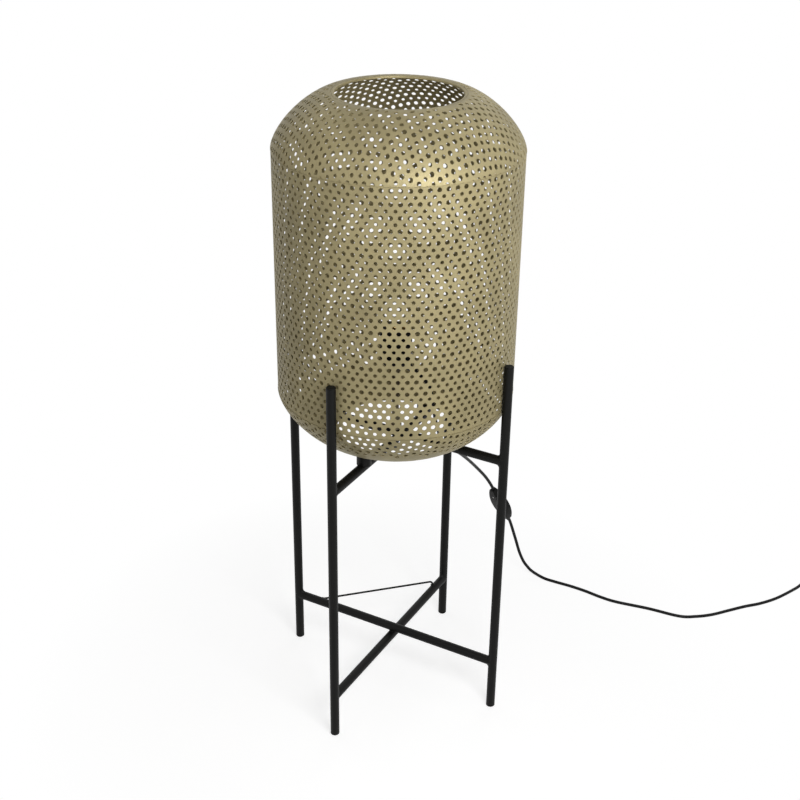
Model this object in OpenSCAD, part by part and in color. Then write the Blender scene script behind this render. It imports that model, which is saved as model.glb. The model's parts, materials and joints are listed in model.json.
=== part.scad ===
// Lantern floor lamp: a perforated sheet-metal capsule shade stands between four
// round tube legs. Two diagonal frames cross at the top and at the bottom, a stem on
// the upper cross carries the lamp holder, and a lead runs to a switch and a plug.
// Millimetres, Z up, origin on the floor under the axis of the shade.
// The legs stand on the diagonals of X and Y. Frame A runs from front left to back
// right, and frame B lies one tube higher, from back left to front right.

/* [Stand] */
// Outside diameter of the legs and bars
tube_d = 12.7; // [11:0.1:15]
// Wall of the legs and bars
tube_wall = 1.2; // [0.8:0.1:2]
// Height of the legs above the floor
leg_h = 557; // [500:1:620]
// Height of the axis of the lower bar of frame A
lower_bar_z = 67.5; // [45:0.5:110]
// Height of the axis of the upper bar of frame A
upper_bar_z = 402.5; // [380:0.5:440]
// Diameter of the thin rod behind the lower cross
tie_d = 3; // [2:0.5:5]
// Distance of the rod from the axis of the shade
tie_y = 95.5; // [80:0.5:105]
// Radius of the bend at the rod's end
tie_bend_r = 5; // [4:0.5:6]
// Diameter of the bolt through the upper cross
upper_bolt_d = 6; // [5:0.5:7]
// Height of the foot glides below the tubes
glide_h = 4; // [3:0.5:6]
// Height of the caps above the tubes
cap_h = 1.6; // [1:0.1:3]

/* [Shade] */
// Outside diameter of the shade
shade_d = 320; // [300:1:340]
// Height of the straight wall
shade_wall_h = 331; // [280:1:380]
// Height of each dome, flange included
dome_h = 68.5; // [60:0.5:80]
// Diameter of the round opening in each dome
opening_d = 160; // [140:1:180]
// Thickness of the sheet
sheet = 1; // [0.8:0.1:1.5]
// Width of the flat flange round each opening
flange_w = 8; // [8:0.5:12]
// Depth of the lip turned in from each flange
lip_h = 3; // [2:0.5:5]
// Fullness of the dome: 1 is a cone and 2 an ellipse
dome_power = 1.45; // [1.3:0.05:2]

/* [Perforation] */
// Holes in each row of the straight wall
hole_columns = 28; // [20:1:30]
// Rows of holes in the straight wall
hole_rows = 12; // [6:1:12]
// Width of the large holes, corner to corner
hole_big = 19; // [14:0.5:20]
// Width of the small holes, corner to corner
hole_small = 16; // [10:0.5:17]
// Plain band at each edge of the straight wall
plain_band = 8; // [4:0.5:14]

/* [Fixing of the shade] */
// Distance of the shade's screws from the edge of the opening
shade_screw_inset = 5; // [4:0.5:6]
// Diameter of the shade's screws
shade_screw_d = 4; // [3:0.5:5]
// Diameter of the spacers on the lower of the two upper bars
spacer_d = 13; // [10:0.5:16]

/* [Lamp holder] */
// Diameter of the stem under the holder
stem_d = 10; // [8:0.5:12]
// Height of the holder's underside above the floor
holder_z = 514.5; // [480:0.5:540]
// Outside diameter of the holder
holder_d = 43; // [41:0.5:46]
// Height of the holder's cap
holder_cap_h = 30; // [28:0.5:34]
// Height of the holder's skirt
holder_skirt_h = 28; // [26:0.5:34]
// Diameter of the bore for the lamp cap
lamp_bore_d = 26.8; // [26:0.1:27.4]

/* [Lead] */
// Diameter of the lead
lead_d = 5; // [4.5:0.1:5.2]
// Turns of the coil in all
coil_turns = 4.25; // [4.25:1:4.25]
// Radius of the coil's outer turns, at the middle of the lead
coil_r = 33; // [32:0.5:36]
// Step from turn to turn, and from layer to layer
coil_step = 5.6; // [5.5:0.1:6]

/* [Switch and plug] */
// Length of the switch
switch_l = 76; // [66:1:80]
// Width of the switch at its middle
switch_w = 25; // [23:0.5:28]
// Thickness of the switch at its middle
switch_t = 17; // [16:0.5:20]
// Width of the switch at its ends
switch_end_w = 9; // [8:0.5:11]
// Travel of the rocker
rocker_travel = 16; // [10:1:16]
// Length of the plug's body
plug_l = 37; // [34:0.5:42]
// Width of the plug's face
plug_w = 35.3; // [34:0.1:37]
// Thickness of the plug
plug_t = 13.7; // [13:0.1:15]
// Distance between the plug's pins
pin_pitch = 19; // [18:0.1:20]
// Diameter of the plug's pins
pin_d = 4; // [3.8:0.1:4.8]

/* [Hidden] */

// Fits and gaps
seat_gap = 0.1;
weld_gap = 0.1;
leg_gap = 0.3;
fit_gap = 0.1;
hole_play = 0.4;
eps = 1;

// Facets of round pieces: all above twelve, so they are true circles
tube_fn = 24;
small_fn = 16;
round_fn = 32;
lens_fn = 256;
shade_fn = 2 * hole_columns;

// Stand
tube_r = tube_d / 2;
leg_ring_r = shade_d / 2 + leg_gap + tube_r;
cross_rise = tube_d + seat_gap;
lower_bar_b_z = lower_bar_z + cross_rise;
upper_bar_b_z = upper_bar_z + cross_rise;
cross_top_z = upper_bar_b_z + tube_r;
frame_a = 45;
frame_b = -45;
washer_h = 1;
washer_d = 12;

// Shade
shade_r = shade_d / 2;
opening_r = opening_d / 2;
rim_z = cross_top_z + seat_gap;
seam_z = rim_z + dome_h;
top_seam_z = seam_z + shade_wall_h;
shade_top_z = top_seam_z + dome_h;
dome_run = shade_r - opening_r - flange_w;
shade_screw_r = opening_r + shade_screw_inset;
// Corners of the dome's profile, as angles of its curve
dome_angles = [0, 27, 45, 63, 90];
dome_bands = len(dome_angles) - 1;
hole_pitch = PI * shade_d / hole_columns;

// Holder, from the underside of its cap
lead_az = -18;
lead_dip = 42;
lead_axis_z = 17.4;
stub_d = 11;
stub_end = 24;
boot_l = 22;
boot_d = 9.5;
boot_tip_d = 6.5;
insert_z = 16;
insert_h = 11;
shell_wall = 1.1;
holder_wall = 2.5;
foot_d = 18;
foot_h = 20;
foot_socket = 9;
locknut_h = 4;
locknut_af = 14;

// Switch: its middle, the way that the lead runs through it, and its inside
switch_pos = [236, 186, 148];
switch_az = 21;
switch_dip = 62;
switch_wall = 2.3;
switch_straight = 14;
room_l = 33;
room_w = switch_w - 3 * switch_wall;
room_h = switch_t / 2 - switch_wall;
rocker_l = 15.4;
rocker_w = 10.4;
rocker_slot_l = rocker_l + 2;
rocker_slot_w = rocker_w + 0.8;
pin_reach = rocker_w / 2 + 1.6;
rocker_pin_d = 2.4;
rocker_pin_play = 0.05;
rocker_z = 3.4;
switch_screw_x = 22;
switch_screw_d = 2.4;
screw_seat_z = -5;

// Lead: the parts of its route that lie free, and the middle of its coil
lead_r = lead_d / 2;
lead_floor_z = lead_r + 0.1;
lead_sides = 8;
ring_step = 15;
coil_centre = [800, 30];
coil_sides = 6;
coil_rings = 24;
lead_1_points = [
    [42, -13, 490], [46, -13, 481], [49, -12, 468], [52, -9, 453], [55, -5, 438],
    [66, 11, 403], [80, 33, 373], [97, 57, 347], [115, 83, 324], [135, 109, 300],
    [158, 135, 271], [180, 156, 242], [200, 170, 215]
];
lead_2_points = [
    [272, 196, 61], [277, 192, 42], [283, 186, 26], [289, 180, 17], [296, 174, 10],
    [311, 160, 3.4], [326, 146, 2.6], [346, 128, 2.6], [365, 108, 2.6], [382, 87, 2.6], [402, 67, 2.6], [446, 36, 2.6], [486, 4, 2.6], [513, -4, 2.6], [540, -6, 2.6],
    [571, -3, 2.6], [602, 0, 2.6], [632, 1, 2.6], [665, 7, 2.6], [702, 20, 2.6],
    [722, 29, 2.6], [745, 44, 2.6], [768, 59, 2.6]
];
lead_3_sag = [[833, 4, 4], [834, -8, 2.8], [834, -20, 3.6]];
plug_tail = [834, -34, 0];
plug_relief_l = 22;
plug_relief_d = 9;

// ---------------------------------------------------------------- helpers

function unit(v) = v / norm(v);
function aim(az, dip) = [cos(dip) * cos(az), cos(dip) * sin(az), -sin(dip)];

// A point on the dome's outer profile, measured from the seam
function dome_point(t) = [
    shade_r - dome_run + dome_run * pow(cos(t), 2 / dome_power),
    dome_h * pow(sin(t), 2 / dome_power)
];

// Smooth curve through hand-chosen points
function curve_at(a, b, c, d, t) = 0.5 * (
    2 * b + (c - a) * t + (2 * a - 5 * b + 4 * c - d) * t * t
    + (3 * b - a - 3 * c + d) * t * t * t
);
function smooth(p, step) = let (last = len(p) - 1) concat(
    [for (i = [0 : last - 1])
        let (n = max(1, round(norm(p[i + 1] - p[i]) / step)))
            for (j = [0 : n - 1])
                curve_at(p[max(i - 1, 0)], p[i], p[i + 1], p[min(i + 2, last)], j / n)],
    [p[last]]
);

// A round lead of radius r along the points p. side is never along the lead.
module lead(p, r, sides, side) {
    last = len(p) - 1;
    rings = [for (i = [0 : last])
        let (
            t = unit(p[min(i + 1, last)] - p[max(i - 1, 0)]),
            u = unit(side - (side * t) * t),
            v = cross(t, u)
        )
        for (k = [0 : sides - 1])
            p[i] + r * (cos(k * 360 / sides) * u + sin(k * 360 / sides) * v)];
    walls = [for (i = [0 : last - 1], k = [0 : sides - 1])
        let (
            a = i * sides + k,
            b = i * sides + (k + 1) % sides
        )
        each [[a, a + sides, b], [b, a + sides, b + sides]]];
    ends = [for (k = [1 : sides - 2])
        each [[0, k, k + 1], [last * sides, last * sides + k + 1, last * sides + k]]];
    polyhedron(rings, concat(walls, ends), convexity = 10);
}

module pipe(h, d, bore, fn = tube_fn) {
    difference() {
        cylinder(h = h, d = d, $fn = fn);
        translate([0, 0, -eps])
            cylinder(h = h + 2 * eps, d = bore, $fn = fn);
    }
}

module hexagon(h, af) {
    cylinder(h = h, d = af / cos(30), $fn = 6);
}

module hex_nut(h, af, bore) {
    difference() {
        hexagon(h, af);
        translate([0, 0, -eps])
            cylinder(h = h + 2 * eps, d = bore, $fn = small_fn);
    }
}

// Draws its children at the four legs
module at_legs() {
    for (q = [0 : 3])
        rotate([0, 0, frame_a + 90 * q])
            translate([leg_ring_r, 0, 0]) children();
}

// ---------------------------------------------------------------- stand

module leg(az) {
    color("#232421")
        rotate([0, 0, az])
            translate([leg_ring_r, 0, glide_h])
                pipe(leg_h - glide_h - cap_h, tube_d, tube_d - 2 * tube_wall);
}

module leg_front_left() {
    leg(frame_a + 180);
}

module leg_front_right() {
    leg(frame_b);
}

module leg_back_right() {
    leg(frame_a);
}

module leg_back_left() {
    leg(frame_b + 180);
}

// A plug of plastic pressed into a tube end, its head outside the tube
module tube_plug(head_h, edge, stem_h) {
    stem_r = tube_r - tube_wall - fit_gap;
    rotate_extrude($fn = tube_fn)
        polygon([
            [0, 0], [tube_r - edge, 0], [tube_r, edge], [tube_r, head_h],
            [stem_r, head_h], [stem_r, head_h + stem_h], [0, head_h + stem_h]
        ]);
}

module leg_caps() {
    color("#1b1c1a")
        at_legs()
            translate([0, 0, leg_h])
                mirror([0, 0, 1]) tube_plug(cap_h, 0.8, 8);
}

module foot_glides() {
    color("#1b1c1a")
        at_legs() tube_plug(glide_h, 1.6, 10);
}

// A cross bar between two opposite legs, shaped round them at its ends
module bar(az, z, drilled) {
    color("#232421")
        rotate([0, 0, az])
            difference() {
                translate([-leg_ring_r, 0, z])
                    rotate([0, 90, 0])
                        pipe(2 * leg_ring_r, tube_d, tube_d - 2 * tube_wall);
                for (s = [-1, 1])
                    translate([s * leg_ring_r, 0, z - tube_d])
                        cylinder(h = 2 * tube_d, r = tube_r + weld_gap, $fn = tube_fn);
                if (drilled)
                    translate([0, 0, z - tube_d])
                        cylinder(h = 2 * tube_d, d = upper_bolt_d + hole_play, $fn = small_fn);
                if (drilled)
                    for (s = [-1, 1])
                        translate([s * shade_screw_r, 0, z])
                            cylinder(h = tube_d, d = shade_screw_d + fit_gap, $fn = small_fn);
            }
}

module lower_bar_a() {
    bar(frame_a, lower_bar_z, false);
}

module lower_bar_b() {
    bar(frame_b, lower_bar_b_z, false);
}

module upper_bar_a() {
    bar(frame_a, upper_bar_z, true);
}

module upper_bar_b() {
    bar(frame_b, upper_bar_b_z, true);
}

// The space round a bar that a piece welded onto it leaves free
module bar_room(az, z) {
    rotate([0, 0, az])
        translate([-leg_ring_r, 0, z])
            rotate([0, 90, 0])
                cylinder(h = 2 * leg_ring_r, r = tube_r + weld_gap, $fn = tube_fn);
}

// The rod meets the side of bar b, and bends down onto the top of bar a
module tie_rod() {
    end_x = tie_y - tie_d;
    color("#232421")
        difference() {
            translate([0, tie_y, lower_bar_b_z]) {
                translate([-tie_y, 0, 0])
                    rotate([0, 90, 0])
                        cylinder(h = tie_y + end_x - tie_bend_r, d = tie_d, $fn = small_fn);
                translate([end_x - tie_bend_r, 0, -tie_bend_r])
                    rotate([90, 0, 0])
                        rotate_extrude(angle = 90, $fn = round_fn)
                            translate([tie_bend_r, 0]) circle(d = tie_d, $fn = small_fn);
                translate([end_x, 0, -cross_rise])
                    cylinder(h = cross_rise - tie_bend_r, d = tie_d, $fn = small_fn);
            }
            bar_room(frame_a, lower_bar_z);
            bar_room(frame_b, lower_bar_b_z);
        }
}

upper_bottom_z = upper_bar_z - tube_r - seat_gap - washer_h;

module upper_cross_bolt() {
    head_h = 4;
    color("#30312e") {
        translate([0, 0, upper_bottom_z - head_h])
            hexagon(head_h, 10);
        translate([0, 0, upper_bottom_z - head_h / 2])
            cylinder(h = cross_top_z + foot_socket - 1 - upper_bottom_z + head_h / 2,
                     d = upper_bolt_d, $fn = small_fn);
    }
}

module upper_cross_washer() {
    color("#3a3b38")
        translate([0, 0, upper_bottom_z])
            pipe(washer_h, washer_d, upper_bolt_d + hole_play);
}

// ---------------------------------------------------------------- shade

// One hole through the sheet, its axis out along X and a corner on each side
module hole(d) {
    rotate([0, 90, 0])
        cylinder(h = 10 * sheet, d = d, center = true, $fn = 6);
}

function row_hole(k) = k % 2 == 0 ? hole_big : hole_small;

module shade_body() {
    row_step = (shade_wall_h - 2 * plain_band) / hole_rows;
    color("#a39a7c")
        difference() {
            translate([0, 0, seam_z + seat_gap])
                cylinder(h = shade_wall_h - 2 * seat_gap, r = shade_r, $fn = shade_fn);
            translate([0, 0, seam_z])
                cylinder(h = shade_wall_h, r = shade_r - sheet, $fn = shade_fn);
            for (k = [0 : hole_rows - 1], c = [0 : hole_columns - 1])
                rotate([0, 0, (c + (k % 2) / 2) * 360 / hole_columns])
                    translate([shade_r, 0, seam_z + plain_band + (k + 0.5) * row_step])
                        hole(row_hole(k));
        }
}

// A dome in its own frame: the seam at z = 0 and the flange at z = dome_h
module dome(screws) {
    outer = [for (t = dome_angles) dome_point(t)];
    inner = [for (i = [0 : dome_bands])
        let (
            t = unit(outer[min(i + 1, dome_bands)] - outer[max(i - 1, 0)])
        )
        i == 0 ? outer[0] - [sheet, 0]
        : i == dome_bands ? outer[i] - [0, sheet]
        : outer[i] - sheet * [t[1], -t[0]]];
    lip = [
        [opening_r, dome_h], [opening_r, dome_h - lip_h],
        [opening_r + sheet, dome_h - lip_h], [opening_r + sheet, dome_h - sheet]
    ];
    difference() {
        rotate_extrude($fn = shade_fn)
            polygon(concat(
                outer, lip, [for (i = [dome_bands : -1 : 0]) inner[i]]
            ));
        for (k = [0 : dome_bands - 1]) {
            middle = (outer[k] + outer[k + 1]) / 2;
            run = outer[k + 1] - outer[k];
            count = round(2 * PI * middle[0] / hole_pitch);
            for (c = [0 : count - 1])
                rotate([0, 0, (c + ((k + 1) % 2) / 2) * 360 / count])
                    translate([middle[0], 0, middle[1]])
                        rotate([0, -atan2(-run[0], run[1]), 0])
                            hole(row_hole(k + 1));
        }
        if (screws)
            for (q = [0 : 3])
                rotate([0, 0, frame_a + 90 * q])
                    translate([shade_screw_r, 0, dome_h - 2 * sheet])
                        cylinder(h = 3 * sheet, d = shade_screw_d + hole_play, $fn = small_fn);
    }
}

module shade_base() {
    color("#8f876b")
        translate([0, 0, seam_z])
            mirror([0, 0, 1]) dome(true);
}

module shade_top() {
    color("#b3aa8b")
        translate([0, 0, top_seam_z]) dome(false);
}

module shade_spacers() {
    color("#232421")
        rotate([0, 0, frame_a])
            for (s = [-1, 1])
                difference() {
                    translate([s * shade_screw_r, 0, upper_bar_z])
                        cylinder(h = rim_z - seat_gap - upper_bar_z, d = spacer_d, $fn = tube_fn);
                    translate([s * shade_screw_r - spacer_d, 0, upper_bar_z])
                        rotate([0, 90, 0])
                            cylinder(h = 2 * spacer_d, r = tube_r + seat_gap, $fn = tube_fn);
                    translate([s * shade_screw_r - spacer_d, -spacer_d, upper_bar_z - eps])
                        cube([2 * spacer_d, 2 * spacer_d, eps]);
                    translate([s * shade_screw_r, 0, upper_bar_z])
                        cylinder(h = 2 * tube_d, d = shade_screw_d + hole_play, $fn = small_fn);
                }
}

// A pan-head screw that hangs from z = 0, its head above and its shank below
module pan_screw(shank, d) {
    rotate_extrude($fn = small_fn)
        polygon([
            [0, -shank], [d / 2, -shank], [d / 2, 0], [0.95 * d, 0],
            [0.95 * d, 0.25 * d], [0.6 * d, 0.6 * d], [0, 0.6 * d]
        ]);
}

module shade_screws() {
    head_z = rim_z + sheet + seat_gap;
    grip = tube_wall + 3;
    color("#30312e")
        for (s = [-1, 1]) {
            rotate([0, 0, frame_b])
                translate([s * shade_screw_r, 0, head_z])
                    pan_screw(head_z - cross_top_z + grip, shade_screw_d);
            rotate([0, 0, frame_a])
                translate([s * shade_screw_r, 0, head_z])
                    pan_screw(head_z - cross_top_z + grip + cross_rise, shade_screw_d);
        }
}

// ---------------------------------------------------------------- stem and holder

stem_bottom_z = cross_top_z + seat_gap + foot_h - foot_socket;
stem_top_z = holder_z + insert_z - 4;

module stem_foot() {
    color("#9c8c5c")
        translate([0, 0, cross_top_z + seat_gap])
            difference() {
                rotate_extrude($fn = round_fn)
                    polygon([
                        [0, 0], [foot_d / 2, 0], [foot_d / 2, 6], [stem_d / 2 + 2, 10],
                        [stem_d / 2 + 2, foot_h - 1], [stem_d / 2 + 1, foot_h], [0, foot_h]
                    ]);
                translate([0, 0, -eps])
                    cylinder(h = foot_socket + eps, d = upper_bolt_d + fit_gap, $fn = small_fn);
                translate([0, 0, foot_h - foot_socket])
                    cylinder(h = foot_socket + eps, d = stem_d + fit_gap, $fn = tube_fn);
            }
}

module stem() {
    color("#9c8c5c")
        translate([0, 0, stem_bottom_z])
            pipe(stem_top_z - stem_bottom_z, stem_d, stem_d - 2);
}

module stem_locknut() {
    color("#9c8c5c")
        translate([0, 0, holder_z - seat_gap - locknut_h])
            hex_nut(locknut_h, locknut_af, stem_d + fit_gap);
}

// Places its children on the line by which the lead leaves the holder, z along it
module on_lead_exit(distance) {
    translate([0, 0, holder_z + lead_axis_z])
        rotate([0, 90 + lead_dip, lead_az])
            translate([0, 0, distance]) children();
}

module holder_cap() {
    r = holder_d / 2;
    color("#1c1d1b")
        difference() {
            union() {
                translate([0, 0, holder_z])
                    rotate_extrude($fn = round_fn)
                        polygon([
                            [0, 0], [9, 0], [13, 2], [r - 3.5, 7], [r - 0.8, 13], [r, 17],
                            [r, holder_cap_h], [r - holder_wall, holder_cap_h],
                            [r - holder_wall, insert_z], [0, insert_z]
                        ]);
                on_lead_exit(10)
                    cylinder(h = stub_end - 10, d = stub_d, $fn = tube_fn);
            }
            translate([0, 0, holder_z - eps])
                cylinder(h = insert_z + 2 * eps, d = stem_d + fit_gap, $fn = tube_fn);
        }
}

module holder_skirt() {
    r = holder_d / 2;
    bore_r = lamp_bore_d / 2 + shell_wall + fit_gap;
    color("#1c1d1b")
        translate([0, 0, holder_z + holder_cap_h + seat_gap])
            rotate_extrude($fn = round_fn)
                polygon([
                    [bore_r, 0], [r, 0], [r, holder_skirt_h - 8], [r - 1.2, holder_skirt_h - 6],
                    [r - 1.2, holder_skirt_h - 1], [r - 2.2, holder_skirt_h],
                    [bore_r, holder_skirt_h]
                ]);
}

module holder_insert() {
    r = holder_d / 2 - holder_wall - fit_gap;
    color("#d9d4c6")
        translate([0, 0, holder_z + insert_z + seat_gap])
            difference() {
                cylinder(h = insert_h, r = r, $fn = round_fn);
                translate([0, 0, insert_h - 3])
                    cylinder(h = 3 + eps, r = lamp_bore_d / 2 - 1.5, $fn = round_fn);
                for (s = [-1, 1])
                    translate([s * 8, 0, -eps])
                        cylinder(h = 6 + eps, d = 3 + fit_gap, $fn = small_fn);
            }
}

module lamp_thread_shell() {
    z = holder_z + insert_z + insert_h + 2 * seat_gap;
    color("#b08d57")
        translate([0, 0, z])
            pipe(holder_z + holder_cap_h + holder_skirt_h - 1.5 - z,
                 lamp_bore_d + 2 * shell_wall, lamp_bore_d, round_fn);
}

module centre_contact() {
    z = holder_z + insert_z + insert_h - 3 + 2 * seat_gap;
    color("#b08d57")
        translate([0, 0, z]) {
            translate([-9, -2.5, 0]) cube([18, 5, 0.8]);
            cylinder(h = 2, d = 5, $fn = small_fn);
        }
}

module terminal_screws() {
    color("#b08d57")
        for (s = [-1, 1])
            translate([s * 8, 0, holder_z + insert_z + 2 * seat_gap])
                cylinder(h = 5, d = 3, $fn = small_fn);
}

module lead_boot() {
    color("#1c1d1b")
        on_lead_exit(stub_end)
            difference() {
                cylinder(h = boot_l, d1 = boot_d, d2 = boot_tip_d, $fn = tube_fn);
                for (k = [1 : 4])
                    translate([0, 0, k * 4])
                        pipe(1.2, boot_d + 2, boot_tip_d - 0.6);
            }
}

// ---------------------------------------------------------------- lead

lead_start = [0, 0, holder_z + lead_axis_z] + (stub_end + boot_l) * aim(lead_az, lead_dip);
switch_dir = aim(switch_az, switch_dip);
switch_in = switch_pos - switch_l / 2 * switch_dir;
switch_out = switch_pos + switch_l / 2 * switch_dir;
lead_1_route = concat(
    [lead_start, lead_start + 6 * aim(lead_az, lead_dip)],
    lead_1_points,
    [switch_in - switch_straight * switch_dir, switch_in]
);

// The coil winds in on the floor and out again above, and climbs where it turns back
coil_back = coil_turns / 2;
function coil_radius(t) = coil_r - coil_step * (t < coil_back ? t : 2 * coil_back - t);
function coil_height(t) = lead_floor_z
    + coil_step * min(1, max(0, (t - coil_back + 0.25) / 0.5));
function coil_point(t) = [
    coil_centre[0] + coil_radius(t) * cos(90 - 360 * t),
    coil_centre[1] + coil_radius(t) * sin(90 - 360 * t),
    coil_height(t)
];
coil_count = coil_turns * coil_rings;
coil_turn_points = [for (i = [0 : coil_count]) coil_point(i / coil_rings)];
coil_in_dir = unit(coil_turn_points[1] - coil_turn_points[0]);
coil_out_dir = unit(coil_turn_points[coil_count] - coil_turn_points[coil_count - 1]);
coil_start = coil_turn_points[0] - lead_d * coil_in_dir;
coil_end = coil_turn_points[coil_count] + lead_d * coil_out_dir;
coil_route = concat([coil_start], coil_turn_points, [coil_end]);
coil_gap = min([for (i = [0 : coil_count - 12], j = [i + 12 : coil_count])
    norm(coil_turn_points[i] - coil_turn_points[j])]) - lead_d;
echo(least_gap_of_coil_to_itself_mm = coil_gap);

lead_2_route = concat(
    [switch_out, switch_out + switch_straight * switch_dir],
    lead_2_points,
    [coil_start - 10 * coil_in_dir, coil_start]
);
plug_start = [plug_tail[0], plug_tail[1], plug_t / 2];
lead_3_route = concat(
    [coil_end, coil_end + 6 * coil_out_dir],
    lead_3_sag,
    [plug_start + [0, 5, 0], plug_start]
);

module lead_to_switch() {
    color("#1a1a1a")
        lead(smooth(lead_1_route, ring_step), lead_r, lead_sides, [0.5, -0.87, 0]);
}

module lead_on_floor() {
    color("#1a1a1a")
        lead(smooth(lead_2_route, ring_step + 3), lead_r, lead_sides, [0, 1, 0]);
}

module lead_coil() {
    color("#1a1a1a")
        lead(coil_route, lead_r, coil_sides, [0, 0, 1]);
}

module lead_to_plug() {
    color("#1a1a1a")
        lead(smooth(lead_3_route, ring_step), lead_r, lead_sides, [1, 0, 0]);
}

// ---------------------------------------------------------------- switch

// The switch in its own frame: X along the lead, Z out of the cover
module at_switch() {
    translate(switch_pos)
        rotate([0, switch_dip, switch_az]) children();
}

// A lens as wide as w at its middle and end_w at its ends, l long
module lens(l, w, end_w) {
    drop = (w - end_w) / 2;
    r = (l * l / 4 + drop * drop) / (2 * drop);
    intersection() {
        translate([0, w / 2 - r]) circle(r = r, $fn = lens_fn);
        translate([0, r - w / 2]) circle(r = r, $fn = lens_fn);
        square([l, w], center = true);
    }
}

// The outside of the switch, a lens seen from its face and from its side
module switch_form() {
    intersection() {
        translate([0, 0, -switch_t])
            linear_extrude(2 * switch_t) lens(switch_l, switch_w, switch_end_w);
        translate([0, switch_w, 0])
            rotate([90, 0, 0])
                linear_extrude(2 * switch_w) lens(switch_l, switch_t, switch_end_w);
    }
}

// The room inside both shells
module switch_room(l, w, h) {
    cube([l, w, 2 * h], center = true);
}

module at_switch_screws() {
    for (s = [-1, 1])
        translate([s * switch_screw_x, 0, 0]) children();
}

module switch_base() {
    color("#20211f")
        at_switch()
            difference() {
                switch_form();
                translate([-switch_l, -switch_w, seat_gap / -2])
                    cube([2 * switch_l, 2 * switch_w, switch_t]);
                switch_room(room_l, room_w, room_h);
                at_switch_screws()
                    translate([0, 0, -switch_t])
                        cylinder(h = 2 * switch_t, d = switch_screw_d + hole_play, $fn = small_fn);
                at_switch_screws()
                    translate([0, 0, -switch_t])
                        cylinder(h = switch_t + screw_seat_z, d = 5, $fn = small_fn);
            }
}

module switch_cover() {
    boss_w = (room_w - rocker_slot_w) / 2;
    color("#262725")
        at_switch()
            difference() {
                switch_form();
                translate([-switch_l, -switch_w, seat_gap / 2 - switch_t])
                    cube([2 * switch_l, 2 * switch_w, switch_t]);
                difference() {
                    switch_room(room_l, room_w, room_h);
                    // Ears that carry the pins of the rocker
                    for (s = [-1, 1])
                        translate([0, s * (room_w + eps - boss_w) / 2, 0])
                            cube([6, boss_w + eps, 4 * room_h], center = true);
                }
                cube([rocker_slot_l, rocker_slot_w, 2 * switch_t], center = true);
                translate([0, -pin_reach - fit_gap, rocker_z])
                    rotate([-90, 0, 0])
                        cylinder(h = 2 * (pin_reach + fit_gap),
                                 d = rocker_pin_d + 2 * rocker_pin_play, $fn = small_fn);
                at_switch_screws()
                    translate([0, 0, -eps])
                        cylinder(h = 5, d = switch_screw_d + fit_gap, $fn = small_fn);
            }
}

// The rocker at rest, tipped towards the plug
module switch_rocker() {
    half = rocker_l / 2;
    color("#2d2e2b")
        at_switch()
            translate([0, 0, rocker_z])
                rotate([0, rocker_travel / 2, 0]) {
                    translate([0, rocker_w / 2, 0])
                        rotate([90, 0, 0])
                            linear_extrude(rocker_w)
                                polygon([
                                    [-half, 5.2], [-half, 0], [-4, -2.6], [4, -2.6],
                                    [half, 0], [half, 5.2], [4, 4.4], [0, 4.1], [-4, 4.4]
                                ]);
                    translate([0, -pin_reach, 0])
                        rotate([-90, 0, 0])
                            cylinder(h = 2 * pin_reach, d = rocker_pin_d, $fn = small_fn);
                }
}

module switch_screws() {
    color("#8a8a86")
        at_switch()
            at_switch_screws() {
                translate([0, 0, screw_seat_z - seat_gap - 1.6])
                    cylinder(h = 1.6, d = 4.2, $fn = small_fn);
                translate([0, 0, screw_seat_z - seat_gap - 0.8])
                    cylinder(h = 9, d = switch_screw_d, $fn = small_fn);
            }
}

module switch_contacts() {
    color("#b08d57")
        at_switch()
            for (s = [-1, 1])
                translate([s * 9 - 4, -2, seat_gap - room_h])
                    cube([8, 4, 0.8]);
}

// ---------------------------------------------------------------- plug

// The plug in its own frame: X from its tail to its pins, Z up, resting on z = 0
module at_plug() {
    translate([plug_tail[0], plug_tail[1], plug_t / 2])
        rotate([0, 0, -90]) children();
}

module plug_body() {
    half = plug_w / 2;
    color("#1c1d1b")
        at_plug() {
            difference() {
                rotate([0, 90, 0])
                    cylinder(h = plug_relief_l + 2, d1 = lead_d + 1.5, d2 = plug_relief_d,
                             $fn = tube_fn);
                for (k = [1 : 4])
                    translate([k * 4, 0, 0])
                        rotate([0, 90, 0]) pipe(1.2, plug_relief_d + 2, lead_d + 1);
            }
            difference() {
                translate([plug_relief_l, 0, -plug_t / 2])
                    linear_extrude(plug_t)
                        polygon([
                            [0, -5.5], [5, -8], [18, -11], [27, -half + 2], [29, -half],
                            [plug_l, -half], [plug_l, half], [29, half], [27, half - 2],
                            [18, 11], [5, 8], [0, 5.5]
                        ]);
                // The broad faces fall away towards the tail
                for (s = [0, 1])
                    mirror([0, 0, s])
                        translate([plug_relief_l - 1, -half, plug_t / 2])
                            rotate([0, -6, 0])
                                translate([-3, 0, -2.6]) cube([28, plug_w, 6]);
                for (s = [-1, 1])
                    translate([plug_relief_l + plug_l - 8, s * pin_pitch / 2, 0])
                        rotate([0, 90, 0])
                            cylinder(h = 8 + eps, d = pin_d + fit_gap, $fn = small_fn);
            }
        }
}

module plug_pins() {
    color("#c9c9c4")
        at_plug()
            for (s = [-1, 1])
                translate([plug_relief_l + plug_l - 8 + seat_gap, s * pin_pitch / 2, 0])
                    rotate([0, 90, 0]) {
                        cylinder(h = 8 + 18, d = pin_d, $fn = small_fn);
                        translate([0, 0, 26])
                            cylinder(h = 1.2, d1 = pin_d, d2 = pin_d - 2, $fn = small_fn);
                    }
}

// ---------------------------------------------------------------- parts

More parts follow.
